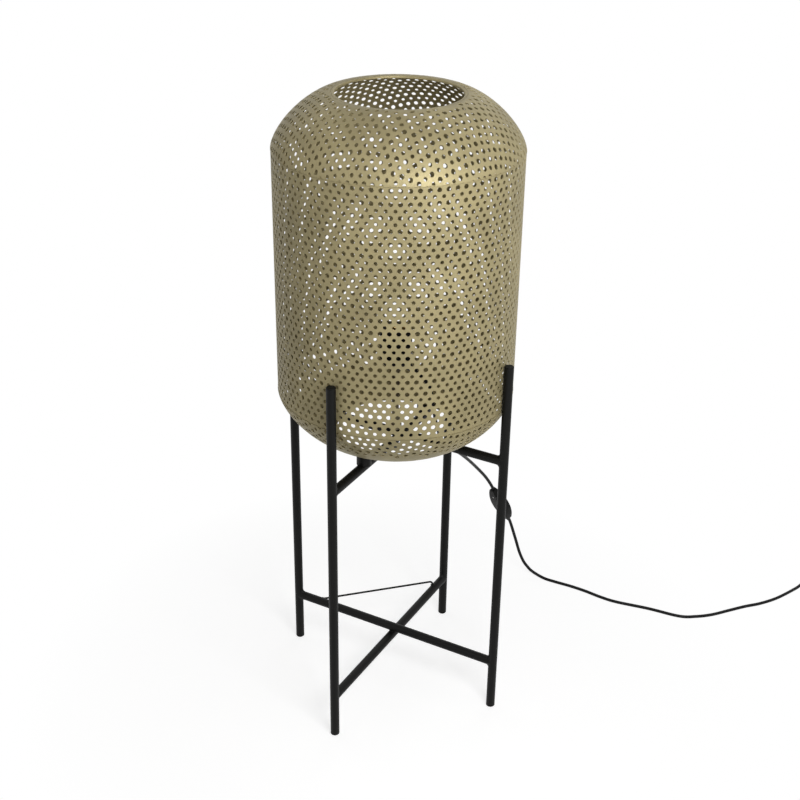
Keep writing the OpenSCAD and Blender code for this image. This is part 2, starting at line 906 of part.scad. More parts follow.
leg_front_left();
leg_front_right();
leg_back_right();
leg_back_left();
leg_caps();
foot_glides();
lower_bar_a();
lower_bar_b();
upper_bar_a();
upper_bar_b();
tie_rod();
upper_cross_bolt();
upper_cross_washer();
shade_spacers();
shade_screws();
shade_base();
shade_body();
shade_top();
stem_foot();
stem();
stem_locknut();
holder_cap();
holder_skirt();
holder_insert();
lamp_thread_shell();
centre_contact();
terminal_screws();
lead_boot();
lead_to_switch();
switch_base();
switch_cover();
switch_rocker();
switch_screws();
switch_contacts();
lead_on_floor();
lead_coil();
lead_to_plug();
plug_body();
plug_pins();
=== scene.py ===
"""Looks of a lantern floor lamp: a perforated capsule shade on a black tube stand."""
import json
import math
from bisect import bisect_right

import bmesh
import bpy
from bpy.props import FloatProperty, FloatVectorProperty, IntProperty, PointerProperty
from mathutils import Matrix, Vector


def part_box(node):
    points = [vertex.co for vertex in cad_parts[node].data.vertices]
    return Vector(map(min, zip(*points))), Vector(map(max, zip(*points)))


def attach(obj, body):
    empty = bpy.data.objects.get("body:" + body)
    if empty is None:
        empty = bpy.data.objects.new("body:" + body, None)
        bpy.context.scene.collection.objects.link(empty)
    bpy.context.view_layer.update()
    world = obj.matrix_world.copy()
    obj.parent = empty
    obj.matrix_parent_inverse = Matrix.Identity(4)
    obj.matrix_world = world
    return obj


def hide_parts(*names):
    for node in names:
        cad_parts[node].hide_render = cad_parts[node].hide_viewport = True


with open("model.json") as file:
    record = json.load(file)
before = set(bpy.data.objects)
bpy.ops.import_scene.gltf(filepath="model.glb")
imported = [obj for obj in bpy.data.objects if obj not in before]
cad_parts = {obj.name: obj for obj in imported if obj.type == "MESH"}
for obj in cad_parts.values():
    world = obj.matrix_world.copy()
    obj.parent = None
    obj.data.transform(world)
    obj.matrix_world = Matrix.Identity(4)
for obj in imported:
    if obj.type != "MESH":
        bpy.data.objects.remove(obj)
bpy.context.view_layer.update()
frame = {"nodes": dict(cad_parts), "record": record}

bl_info = {
    "name": "Lantern floor lamp",
    "version": (1, 0, 0),
    "blender": (4, 5, 0),
    "location": "View3D > Sidebar > Lamp",
    "description": "Dresses the lantern floor lamp, its lead and its studio",
    "category": "Object",
}

MM = 0.001
BODY = "lamp"
MERGE = 0.01 * MM     # vertices nearer than this are one
SHADE_SIDES = 192     # faces round each turned ring of the shade
CUTTER = 20 * MM      # height of the ring that trims a flat blank

# Places that the frame gives
SEAM_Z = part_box("shade_base")[1].z
TOP_SEAM_Z, SHADE_TOP_Z = (corner.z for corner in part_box("shade_top"))
SHADE_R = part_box("shade_body")[1].x
DOME_H = SHADE_TOP_Z - TOP_SEAM_Z
LEG_R = (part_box("leg_back_right")[1].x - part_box("leg_back_right")[0].x) / 2
LEG_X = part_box("leg_back_right")[1].x - LEG_R


# ------------------------------------------------------------------ settings

def length(name, text, default, low=0.0, high=2.0):
    return FloatProperty(name=name, description=text, default=default, min=low, max=high,
                         precision=4, unit="LENGTH")


def colour(name, text, default):
    return FloatVectorProperty(name=name, description=text, default=default, size=3,
                               min=0.0, max=1.0, subtype="COLOR")


class LampCamera(bpy.types.PropertyGroup):
    """Where the studio camera stands, and where it looks."""
    place: FloatVectorProperty(
        name="Place", description="Where the camera stands", default=(-0.4502, -1.557, 1.3085),
        subtype="TRANSLATION", unit="LENGTH")
    heading: FloatProperty(
        name="Heading", description="Turn of the view from +Y towards +X",
        default=math.radians(16.35), subtype="ANGLE")
    dip: FloatProperty(
        name="Dip", description="How far the camera looks down",
        default=math.radians(27.51), subtype="ANGLE")
    roll: FloatProperty(
        name="Roll", description="Tilt of the camera about its view", default=math.radians(0.83),
        subtype="ANGLE")
    lens: FloatProperty(
        name="Lens", description="Focal length on a 36 mm sensor, in millimetres", default=59.96)


class LampShade(bpy.types.PropertyGroup):
    """Sizes of the perforated sheet."""
    sheet: length("Sheet", "Thickness of the sheet", 1.0 * MM)
    columns: IntProperty(name="Columns", description="Holes in a row of the wall", default=88)
    rows: IntProperty(name="Rows", description="Rows of holes in the wall", default=40)
    row_step: length("Row step", "Distance from row to row", 8.186 * MM)
    first_row: length("First row", "Height of the first row above the lower seam", 6.94 * MM)
    wall_turn: FloatProperty(
        name="Wall turn", description="Azimuth of a large hole of the wall",
        default=math.radians(1.336), subtype="ANGLE")
    big_hole: length("Large hole", "Diameter of the holes in every other row", 6.1 * MM)
    small_hole: length("Small hole", "Diameter of the holes between them", 5.0 * MM)
    seam_gap: length("Seam gap", "Open line between the wall and a dome", 0.6 * MM)
    seam_step: length("Seam step", "How far the wall lies inside the domes", 0.4 * MM)
    ring_inset: length("Ring inset", "From the shade's face to a seam's ring", 1.1 * MM)
    ring_sheet: length("Ring sheet", "Thickness of a seam's ring", 0.6 * MM)
    ring_width: length("Ring width", "Height of a seam's ring", 2 * MM)
    dome_power: FloatProperty(
        name="Dome power", description="Fullness of the dome, 2 for an ellipse", default=1.45)
    opening: length("Opening", "Radius of the round opening of each dome", 80 * MM)
    flange: length("Flange", "Flat band round each opening", 8 * MM)
    edge: length("Edge", "Width of the turned edge of each opening", 4 * MM)
    lip: length("Lip", "Depth of the edge turned in at each opening", 3 * MM)
    bend: length("Bend", "Radius of the bend over each opening's edge", 1.2 * MM)


def blank_sizes(radius, plain, turned, shift):
    """The properties of a flat perforated sheet that a dome is pressed from."""
    return {
        "radius": length("Radius", "Radius of the blank", radius),
        "plain": length("Plain ring", "Width of the unpunched ring round the opening", plain),
        "turned": FloatProperty(name="Turn", description="Turn of the rows of holes",
                                default=math.radians(turned), subtype="ANGLE"),
        "shift": FloatVectorProperty(name="Shift", description="Place of a large hole",
                                     default=shift, size=2, unit="LENGTH"),
    }


class LampTopBlank(bpy.types.PropertyGroup):
    """The flat sheet of the top dome."""
    __annotations__ = blank_sizes(180.4 * MM, 4 * MM, 148.65, (8.25 * MM, 15.1 * MM))


class LampBaseBlank(bpy.types.PropertyGroup):
    """The flat sheet of the base dome."""
    __annotations__ = blank_sizes(173.7 * MM, 54 * MM, 146.4, (1.5 * MM, -0.5 * MM))


class LampLead(bpy.types.PropertyGroup):
    """Sizes of the lead and of the tie on its coil."""
    diameter: length("Diameter", "Diameter of the round lead", 5 * MM)
    tie_width: length("Tie width", "Width of the band round the coil", 7 * MM)
    tie_sheet: length("Tie sheet", "Thickness of the band", 0.5 * MM)
    tie_room: length("Tie room", "Play of the band beside the turns", 0.9 * MM)
    tie_lift: length("Tie lift", "Play of the band over the turns", 0.1 * MM)


class LampStand(bpy.types.PropertyGroup):
    """Sizes of the welds and the spacers."""
    fillet: length("Fillet", "Radius of the welds between bars and legs", 6 * MM)
    sink: length("Sink", "How far a weld lies in its tubes", 0.12 * MM)
    spacer_radius: length("Spacer radius", "Radius of the spacers", 10 * MM)
    spacer_bore: length("Spacer bore", "Radius of the hole for the screw", 2.3 * MM)
    spacer_edge: length("Spacer edge", "Width of the bevel of the spacers", 0.8 * MM)
    spacer_in: length("Spacer inset", "From the end of the two to their axes", 6.5 * MM)
    spacer_seat: length("Spacer seat", "How far a spacer lies round the bar", 3.5 * MM)


class LampThread(bpy.types.PropertyGroup):
    """Sizes of the rolled thread that takes the lamp."""
    pitch: length("Pitch", "Rise of the thread in a turn", 3.63 * MM)
    depth: length("Depth", "Depth of the thread", 0.8 * MM)
    sheet: length("Sheet", "Thickness of the rolled sheet", 0.35 * MM)


class LampFinish(bpy.types.PropertyGroup):
    """Colours of the lamp."""
    shade: colour("Shade", "Lacquered sheet of the shade", (0.35, 0.298, 0.16))
    stand: colour("Stand", "Paint of the tubes", (0.005, 0.005, 0.0045))
    plastic: colour("Plastic", "Holder, switch and plug", (0.004, 0.004, 0.0035))
    sheath: colour("Sheath", "Sheath of the lead", (0.005, 0.005, 0.005))
    brass: colour("Brass", "Contacts and lamp thread", (0.48, 0.33, 0.14))
    browned: colour("Browned brass", "Stem and its fittings", (0.16, 0.135, 0.085))


class LampSettings(bpy.types.PropertyGroup):
    """All that the lamp's panel lists."""
    camera: PointerProperty(type=LampCamera)
    shade: PointerProperty(type=LampShade)
    top_blank: PointerProperty(type=LampTopBlank)
    base_blank: PointerProperty(type=LampBaseBlank)
    lead: PointerProperty(type=LampLead)
    stand: PointerProperty(type=LampStand)
    thread: PointerProperty(type=LampThread)
    finish: PointerProperty(type=LampFinish)


def settings():
    return bpy.context.scene.lantern_lamp


# ------------------------------------------------------------------ materials

def shader_of(material):
    return material.node_tree.nodes["Principled BSDF"]


def new_material(name, color, roughness, metallic=0.0, **plain):
    """A material with its plain values on the shader's own sockets."""
    material = bpy.data.materials.new(name)
    material.use_nodes = True
    shader = shader_of(material)
    shader.inputs["Base Color"].default_value = (*color, 1.0)
    shader.inputs["Roughness"].default_value = roughness
    shader.inputs["Metallic"].default_value = metallic
    for socket, value in plain.items():
        shader.inputs[socket.replace("_", " ")].default_value = value
    return material


def add(material, kind, links=(), **values):
    """A node with its values, and links given as (output socket, input name)."""
    node = material.node_tree.nodes.new(kind)
    for key, value in values.items():
        if key in node.inputs:
            node.inputs[key].default_value = value
        else:
            setattr(node, key, value)
    for output, name in links:
        material.node_tree.links.new(output, node.inputs[name])
    return node


def noise(material, scale, detail=3.0, stretch=(1, 1, 1)):
    """Noise on Object coordinates, stretched by a mapping."""
    place = add(material, "ShaderNodeTexCoord")
    mapping = add(material, "ShaderNodeMapping", [(place.outputs["Object"], "Vector")])
    mapping.inputs["Scale"].default_value = stretch
    return add(material, "ShaderNodeTexNoise", [(mapping.outputs["Vector"], "Vector")],
               Scale=scale, Detail=detail)


def vary_colour(material, source, low, high):
    """Lays a colour ramp from low to high on the base colour."""
    ramp = add(material, "ShaderNodeValToRGB", [(source, "Fac")])
    ramp.color_ramp.elements[0].position = 0.35
    ramp.color_ramp.elements[1].position = 0.65
    ramp.color_ramp.elements[0].color = (*low, 1.0)
    ramp.color_ramp.elements[1].color = (*high, 1.0)
    material.node_tree.links.new(ramp.outputs["Color"],
                                 shader_of(material).inputs["Base Color"])


def vary_roughness(material, source, low, high):
    spread = add(material, "ShaderNodeMapRange", [(source, "Value")])
    spread.inputs["To Min"].default_value = low
    spread.inputs["To Max"].default_value = high
    material.node_tree.links.new(spread.outputs["Result"],
                                 shader_of(material).inputs["Roughness"])


def add_bump(material, source, depth, strength=1.0, edge=0.0):
    """Fine relief from the source, over edges that look rounded by a radius."""
    bump = add(material, "ShaderNodeBump", [(source, "Height")], Strength=strength,
               Distance=depth)
    if edge:
        rounding = add(material, "ShaderNodeBevel", samples=4, Radius=edge)
        material.node_tree.links.new(rounding.outputs["Normal"], bump.inputs["Normal"])
    material.node_tree.links.new(bump.outputs["Normal"], shader_of(material).inputs["Normal"])


def shade_metal():
    """Dull brass lacquer on steel sheet, a little uneven from part to part."""
    base = settings().finish.shade
    material = new_material("shade_lacquer", base, 0.5, 0.3, Specular_IOR_Level=0.2)
    cloud = noise(material, 14, 4)
    grain = noise(material, 900, 2)
    vary_colour(material, cloud.outputs["Fac"], [c * 0.88 for c in base],
                [min(1.0, c * 1.1) for c in base])
    vary_roughness(material, cloud.outputs["Fac"], 0.45, 0.56)
    add_bump(material, grain.outputs["Fac"], 0.05 * MM, 0.5)
    return material


def stand_paint():
    """Satin black powder coat."""
    material = new_material("stand_powder_coat", settings().finish.stand, 0.45,
                            Specular_IOR_Level=0.14)
    grain = noise(material, 1400, 2)
    cloud = noise(material, 30, 3)
    vary_roughness(material, cloud.outputs["Fac"], 0.40, 0.52)
    add_bump(material, grain.outputs["Fac"], 0.06 * MM, 0.6, 0.5 * MM)
    return material


def moulded_plastic():
    """Black moulded plastic with a fine matt grain."""
    material = new_material("moulded_plastic", settings().finish.plastic, 0.5,
                            Specular_IOR_Level=0.1)
    grain = noise(material, 2200, 2)
    vary_roughness(material, noise(material, 60).outputs["Fac"], 0.45, 0.58)
    add_bump(material, grain.outputs["Fac"], 0.03 * MM, 0.5, 0.6 * MM)
    return material


def lead_sheath():
    """Smooth black sheath of the lead."""
    material = new_material("lead_sheath", settings().finish.sheath, 0.4,
                            Specular_IOR_Level=0.15)
    vary_roughness(material, noise(material, 120).outputs["Fac"], 0.34, 0.46)
    add_bump(material, noise(material, 900).outputs["Fac"], 0.03 * MM, 0.4)
    return material


def plain_brass():
    """Turned brass, tarnished in places."""
    base = settings().finish.brass
    material = new_material("turned_brass", base, 0.32, 1.0)
    cloud = noise(material, 90, 4)
    vary_colour(material, cloud.outputs["Fac"], [c * 0.7 for c in base], base)
    add_bump(material, noise(material, 300, 2, (1, 1, 12)).outputs["Fac"], 0.03 * MM, 0.5,
             0.3 * MM)
    return material


def browned_brass():
    """Browned brass of the stem and its fittings."""
    base = settings().finish.browned
    material = new_material("browned_brass", base, 0.45, 0.9)
    cloud = noise(material, 70, 4)
    vary_colour(material, cloud.outputs["Fac"], [c * 0.7 for c in base], base)
    add_bump(material, noise(material, 300, 2, (1, 1, 12)).outputs["Fac"], 0.03 * MM, 0.5,
             0.4 * MM)
    return material


def dark_steel():
    """Blackened steel of the screws and nuts."""
    material = new_material("blackened_steel", (0.05, 0.05, 0.048), 0.35, 0.9)
    vary_roughness(material, noise(material, 400).outputs["Fac"], 0.28, 0.45)
    add_bump(material, noise(material, 900).outputs["Fac"], 0.02 * MM, 0.4, 0.3 * MM)
    return material


def bright_steel():
    """Nickel-plated pins and screws."""
    material = new_material("nickel_plate", (0.62, 0.61, 0.58), 0.22, 1.0)
    vary_roughness(material, noise(material, 500).outputs["Fac"], 0.16, 0.3)
    add_bump(material, noise(material, 1200).outputs["Fac"], 0.01 * MM, 0.3, 0.3 * MM)
    return material


def insulator():
    """Glazed insulating body inside the holder."""
    material = new_material("insulator", (0.66, 0.63, 0.56), 0.25)
    vary_roughness(material, noise(material, 200).outputs["Fac"], 0.18, 0.32)
    add_bump(material, noise(material, 500).outputs["Fac"], 0.03 * MM, 0.3, 0.5 * MM)
    return material


FINISHES = {
    "stand_paint": stand_paint, "shade_metal": shade_metal, "brass": plain_brass,
    "dark_steel": dark_steel, "bright_steel": bright_steel, "black_plastic": moulded_plastic,
    "insulator": insulator, "black_rubber": lead_sheath, "browned_brass": browned_brass,
}
# Nodes whose finish differs from the plain one of their slot
NODE_FINISHES = {"stem_foot": "browned_brass", "stem": "browned_brass",
                 "stem_locknut": "browned_brass"}


def finish_for(slot):
    """The material of a slot, made once."""
    for material in bpy.data.materials:
        if material.get("lamp_slot") == slot:
            return material
    material = FINISHES[slot]()
    material["lamp_slot"] = slot
    return material


# ------------------------------------------------------------------ pieces

def shade_smooth(mesh, angle=30):
    """Smooth faces, with edges sharper than the angle kept crisp."""
    for face in mesh.polygons:
        face.use_smooth = True
    mesh.set_sharp_from_angle(angle=math.radians(angle))


def piece(name, data, slot, body=BODY):
    """An object for a mesh or a curve, in its finish and riding on its body."""
    made = bpy.data.objects.new(name, data)
    bpy.context.scene.collection.objects.link(made)
    data.materials.append(finish_for(slot))
    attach(made, body)
    return made


def piece_from(bm, name, slot, body=BODY, angle=30):
    """The piece of a bmesh, which is freed."""
    mesh = bpy.data.meshes.new(name)
    bm.to_mesh(mesh)
    bm.free()
    shade_smooth(mesh, angle)
    return piece(name, mesh, slot, body)


def dress_nodes():
    """Gives every CAD node its own finish, or that of its slot."""
    for row in frame["record"]["subparts"]:
        node = frame["nodes"][row["node"]]
        node.data.materials.clear()
        node.data.materials.append(
            finish_for(NODE_FINISHES.get(row["node"], row["material_slot"])))


# ------------------------------------------------------------------ lead

# The route of the lead, in metres: from the holder to the switch
BOOT_TIP = Vector((0.0325, -0.0106, 0.5011))
BOOT_AIM = Vector((0.7068, -0.2296, -0.6691))
UPPER_ROUTE = [
    (0.042, -0.013, 0.490), (0.046, -0.013, 0.481), (0.049, -0.012, 0.468),
    (0.052, -0.009, 0.453), (0.055, -0.005, 0.438), (0.066, 0.011, 0.403),
    (0.080, 0.033, 0.373), (0.097, 0.057, 0.347), (0.115, 0.083, 0.324),
    (0.135, 0.109, 0.300), (0.158, 0.135, 0.271), (0.180, 0.156, 0.242),
    (0.200, 0.170, 0.215),
]
# Below the switch, and over the floor to the coil
LOWER_ROUTE = [
    (0.272, 0.196, 0.061), (0.277, 0.192, 0.042), (0.283, 0.186, 0.026),
    (0.289, 0.180, 0.017), (0.296, 0.174, 0.010), (0.311, 0.160, 0.0034),
    (0.326, 0.146, 0.0026), (0.346, 0.128, 0.0026), (0.365, 0.108, 0.0026),
    (0.382, 0.087, 0.0026), (0.402, 0.067, 0.0026),
    (0.446, 0.036, 0.0026), (0.486, 0.004, 0.0026), (0.513, -0.004, 0.0026),
    (0.540, -0.006, 0.0026), (0.571, -0.003, 0.0026), (0.602, 0.000, 0.0026),
    (0.632, 0.001, 0.0026), (0.665, 0.007, 0.0026), (0.702, 0.020, 0.0026),
    (0.722, 0.029, 0.0026), (0.745, 0.044, 0.0026), (0.768, 0.059, 0.0026),
]
# From the coil to the plug
PLUG_ROUTE = [(0.833, 0.004, 0.004), (0.834, -0.008, 0.0028), (0.834, -0.020, 0.0036)]
PLUG_TAIL = Vector((0.834, -0.034, 0.00685))
SWITCH_MIDDLE = Vector((0.236, 0.186, 0.148))
SWITCH_TURN = math.radians(21)
SWITCH_DIP = math.radians(62)
SWITCH_LENGTH = 0.076
SWITCH_STRAIGHT = 0.014
COIL_MIDDLE = Vector((0.800, 0.030, 0.0026))
COIL_RADIUS = 0.033
COIL_STEP = 0.0056
COIL_TURNS = 4.25
COIL_POINTS = 24           # points of the lead in a turn
COIL_CROSSING = 0.5        # share of a turn over which the lead climbs to the upper layer
TIE_SQUARENESS = 0.4       # 1 for an oval band, less for a squarer one
LEAD_STEP = 4 * MM


def smooth_route(route, step):
    """Points on a smooth curve through those of the route."""
    route = [Vector(p) for p in route]
    last = len(route) - 1
    points = []
    for i in range(last):
        a, b = route[max(i - 1, 0)], route[i]
        c, d = route[i + 1], route[min(i + 2, last)]
        count = max(1, round((c - b).length / step))
        for k in range(count):
            t = k / count
            points.append(0.5 * (2 * b + (c - a) * t + (2 * a - 5 * b + 4 * c - d) * t * t
                                 + (3 * b - a - 3 * c + d) * t ** 3))
    return points + [route[-1]]


def coil_points():
    """The lead's coil: in on the floor, up a layer at its middle, and out again."""
    back = COIL_TURNS / 2
    points = []
    for i in range(round(COIL_TURNS * COIL_POINTS) + 1):
        t = i / COIL_POINTS
        turned = math.radians(90 - 360 * t)
        radius = COIL_RADIUS - COIL_STEP * min(t, COIL_TURNS - t)
        rise = COIL_STEP * min(1.0, max(0.0, (t - back) / COIL_CROSSING + 0.5))
        points.append(COIL_MIDDLE + Vector((radius * math.cos(turned),
                                            radius * math.sin(turned), rise)))
    return points


def lead_curve(name, points, diameter):
    """A round lead along the points."""
    curve = bpy.data.curves.new(name, "CURVE")
    curve.dimensions = "3D"
    spline = curve.splines.new("POLY")
    spline.points.add(len(points) - 1)
    for target, point in zip(spline.points, points):
        target.co = (*point, 1.0)
    curve.bevel_depth = diameter / 2
    curve.bevel_resolution = 4
    curve.use_fill_caps = True
    return piece(name, curve, "black_rubber")


class LAMP_OT_lead(bpy.types.Operator):
    """Lay the lead from the holder through the switch to the plug"""
    bl_idname = "lamp.lead"
    bl_label = "Lead"

    def execute(self, context):
        lead = settings().lead
        aim = Vector((math.cos(SWITCH_DIP) * math.cos(SWITCH_TURN),
                      math.cos(SWITCH_DIP) * math.sin(SWITCH_TURN), -math.sin(SWITCH_DIP)))
        entry = SWITCH_MIDDLE - SWITCH_LENGTH / 2 * aim
        leave = SWITCH_MIDDLE + SWITCH_LENGTH / 2 * aim
        upper = smooth_route([BOOT_TIP, BOOT_TIP + 6 * MM * BOOT_AIM, *UPPER_ROUTE,
                              entry - SWITCH_STRAIGHT * aim, entry], LEAD_STEP)
        turns = coil_points()
        way_in = (turns[1] - turns[0]).normalized()
        way_out = (turns[-1] - turns[-2]).normalized()
        start = turns[0] - lead.diameter * way_in
        end = turns[-1] + lead.diameter * way_out
        lower = smooth_route([leave, leave + SWITCH_STRAIGHT * aim, *LOWER_ROUTE,
                              start - 10 * MM * way_in, start], LEAD_STEP)
        tail = smooth_route([end, end + 6 * MM * way_out, *PLUG_ROUTE,
                             PLUG_TAIL + Vector((0, 5 * MM, 0)), PLUG_TAIL],
                            LEAD_STEP)
        upper_lead = lead_curve("lead_upper", upper, lead.diameter)
        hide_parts("lead_to_switch")
        lower_points = lower + turns + tail
        lower_lead = lead_curve("lead_lower", lower_points, lead.diameter)
        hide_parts("lead_on_floor", "lead_coil", "lead_to_plug")
        return {"FINISHED"}


class LAMP_OT_lead_tie(bpy.types.Operator):
    """Close a narrow band round the turns of the coil"""
    bl_idname = "lamp.lead_tie"
    bl_label = "Lead tie"

    def execute(self, context):
        lead = settings().lead
        turns_wide = COIL_STEP * COIL_TURNS / 2
        middle = COIL_RADIUS - turns_wide / 2
        half_width = (turns_wide + lead.diameter) / 2 + lead.tie_room
        half_height = (COIL_STEP + lead.diameter) / 2 + lead.tie_lift
        centre = COIL_MIDDLE + Vector((-middle, 0, COIL_STEP / 2))
        bm = bmesh.new()
        bmesh.ops.create_grid(bm, x_segments=40, y_segments=1, size=0.5)
        for v in bm.verts:
            turned = math.tau * (v.co.x + 0.5)
            across, up = (math.copysign(abs(part) ** TIE_SQUARENESS, part)
                          for part in (math.cos(turned), math.sin(turned)))
            v.co = centre + Vector((-half_width * across, v.co.y * lead.tie_width,
                                    half_height * up))
        bmesh.ops.remove_doubles(bm, verts=bm.verts[:], dist=MERGE)
        shrink = 1 - lead.tie_sheet / half_height
        thicken(bm, lambda co: Vector((centre.x + (co.x - centre.x) * shrink, co.y,
                                       centre.z + (co.z - centre.z) * shrink)))
        piece_from(bm, "lead_tie", "black_rubber", angle=60)
        return {"FINISHED"}


# ------------------------------------------------------------------ shade

def cell_mesh(width, height, hole, sides=12):
    """One cell of the sheet: a rectangle, its long sides halved, with a round hole."""
    bm = bmesh.new()
    corners = [(-width, -height), (0, -height), (width, -height),
               (width, height), (0, height), (-width, height)]
    outline = [bm.verts.new((x / 2, y / 2, 0)) for x, y in corners]
    for a, b in zip(outline, outline[1:] + outline[:1]):
        bm.edges.new((a, b))
    if hole:
        bmesh.ops.create_circle(bm, segments=sides, radius=hole / 2)
    bmesh.ops.triangle_fill(bm, edges=bm.edges[:], use_beauty=True, normal=(0, 0, 1))
    mesh = bpy.data.meshes.new("cell")
    bm.to_mesh(mesh)
    bm.free()
    return mesh


def lay_cell(bm, cell, x, y):
    """Adds a copy of a cell at (x, y)."""
    cell.transform(Matrix.Translation((x, y, 0)))
    bm.from_mesh(cell)
    cell.transform(Matrix.Translation((-x, -y, 0)))


def cells_of(shade, pitch, row_step):
    """The cells with a large, a small and no hole."""
    return [cell_mesh(pitch, row_step, shade.big_hole),
            cell_mesh(pitch, row_step, shade.small_hole, 9),
            cell_mesh(pitch, row_step, 0)]


def thicken(bm, place):
    """Doubles a sheet and moves the copy by place(vertex), which closes its edges."""
    made = bmesh.ops.extrude_face_region(bm, geom=bm.faces[:], use_keep_orig=True)
    for v in made["geom"]:
        if isinstance(v, bmesh.types.BMVert):
            v.co = place(v.co)
    bmesh.ops.recalc_face_normals(bm, faces=bm.faces[:])


class LAMP_OT_shade_wall(bpy.types.Operator):
    """Punch the straight wall of the shade and roll it"""
    bl_idname = "lamp.shade_wall"
    bl_label = "Shade wall"

    def execute(self, context):
        shade = settings().shade
        pitch = 2 * math.pi * SHADE_R / shade.columns
        low = SEAM_Z + shade.seam_gap
        high = TOP_SEAM_Z - shade.seam_gap
        first = SEAM_Z + shade.first_row
        small, big = cells_of(shade, pitch, shade.row_step)[1::-1]
        bm = bmesh.new()
        for row in range(shade.rows):
            cell, shift = (big, 0) if row % 2 else (small, 0.5)
            for column in range(shade.columns):
                lay_cell(bm, cell, (column + shift) * pitch, first + row * shade.row_step)
        bmesh.ops.remove_doubles(bm, verts=bm.verts[:], dist=MERGE)
        # The plain bands are drawn out from the first and the last row
        heights = [v.co.y for v in bm.verts]
        for edge_y, target in ((min(heights), low), (max(heights), high)):
            border = [e for e in bm.edges
                      if all(abs(v.co.y - edge_y) < MERGE for v in e.verts)]
            drawn = bmesh.ops.extrude_edge_only(bm, edges=border)
            for v in drawn["geom"]:
                if isinstance(v, bmesh.types.BMVert):
                    v.co.y = target
        radius = SHADE_R - shade.seam_step
        for v in bm.verts:
            turned = v.co.x / SHADE_R + shade.wall_turn
            v.co = (radius * math.cos(turned), radius * math.sin(turned), v.co.y)
        bmesh.ops.remove_doubles(bm, verts=bm.verts[:], dist=MERGE)
        inside = (radius - shade.sheet) / radius
        thicken(bm, lambda co: Vector((co.x * inside, co.y * inside, co.z)))
        wall = piece_from(bm, "perforated_wall", "shade_metal")
        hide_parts("shade_body")
        return {"FINISHED"}


def dome_profile(shade, steps=160):
    """The dome's outline as (radius, height above the seam, run along it), rim first."""
    run = SHADE_R - shade.opening - shade.flange
    points = [(shade.opening, DOME_H, 0.0)]
    for i in range(steps + 1):
        t = math.radians(90 * (1 - i / steps))
        across = max(0.0, math.cos(t)) ** (2 / shade.dome_power)
        r = SHADE_R - run + run * across
        z = DOME_H * math.sin(t) ** (2 / shade.dome_power)
        r0, z0, s0 = points[-1]
        points.append((r, z, s0 + math.hypot(r - r0, z - z0)))
    return points


def on_profile(profile, run, depth):
    """The (radius, height) at a run along the outline, depth below its outer face."""
    i = min(max(bisect_right([p[2] for p in profile], run), 1), len(profile) - 1)
    (r0, z0, s0), (r1, z1, s1) = profile[i - 1], profile[i]
    t = (run - s0) / (s1 - s0) if s1 > s0 else 0.0
    slope = Vector((r1 - r0, z1 - z0)).normalized()
    inward = Vector((slope.y, -slope.x))
    return Vector((r0 + (r1 - r0) * t, z0 + (z1 - z0) * t)) + depth * inward


def revolve(bm, profile, sides):
    """Turns a closed profile of (radius, z) about the Z axis."""
    verts = [bm.verts.new((r, 0, z)) for r, z in profile]
    edges = [bm.edges.new(pair) for pair in zip(verts, verts[1:] + verts[:1])]
    bmesh.ops.spin(bm, geom=verts + edges, cent=(0, 0, 0), axis=(0, 0, 1),
                   angle=math.tau, steps=sides, use_merge=True)


def annulus(inner, outer, height):
    """A flat ring centred on z = 0, as an object."""
    bm = bmesh.new()
    revolve(bm, [(inner, -height / 2), (outer, -height / 2),
                 (outer, height / 2), (inner, height / 2)], SHADE_SIDES)
    bmesh.ops.recalc_face_normals(bm, faces=bm.faces[:])
    mesh = bpy.data.meshes.new("ring")
    bm.to_mesh(mesh)
    bm.free()
    ring = bpy.data.objects.new("ring", mesh)
    bpy.context.scene.collection.objects.link(ring)
    return ring


def punched_blank(shade, sheet):
    """A flat ring of perforated sheet, from its turned edge to the seam, as a bmesh."""
    pitch = 2 * math.pi * SHADE_R / shade.columns
    row_step = shade.row_step
    cells = cells_of(shade, pitch, row_step)
    inner = shade.opening + shade.edge
    outer = sheet.radius
    first = shade.opening + sheet.plain + shade.big_hole / 2 + 0.5 * MM
    reach = math.ceil(outer / pitch) + 1
    bm = bmesh.new()
    for row in range(-math.ceil(outer / row_step) - 1, math.ceil(outer / row_step) + 2):
        for column in range(-reach, reach + 1):
            x = (column + row % 2 / 2) * pitch + sheet.shift[0]
            y = row * row_step + sheet.shift[1]
            away = math.hypot(x, y)
            if inner - pitch < away < outer + pitch:
                lay_cell(bm, cells[row % 2 if away > first else 2], x, y)
    bmesh.ops.remove_doubles(bm, verts=bm.verts[:], dist=MERGE)
    thicken(bm, lambda co: Vector((co.x, co.y, co.z - shade.sheet)))
    bmesh.ops.rotate(bm, verts=bm.verts[:], cent=(0, 0, 0),
                     matrix=Matrix.Rotation(sheet.turned, 3, "Z"))
    mesh = bpy.data.meshes.new("blank")
    bm.to_mesh(mesh)
    bm.free()
    blank = bpy.data.objects.new("blank", mesh)
    bpy.context.scene.collection.objects.link(blank)
    cutter = annulus(inner, outer, CUTTER)
    trim = blank.modifiers.new("trim", "BOOLEAN")
    trim.operation = "INTERSECT"
    trim.solver = "MANIFOLD"
    trim.object = cutter
    bpy.context.view_layer.update()
    cut = bmesh.new()
    cut.from_object(blank, bpy.context.evaluated_depsgraph_get())
    bpy.data.objects.remove(blank)
    bpy.data.objects.remove(cutter)
    return cut


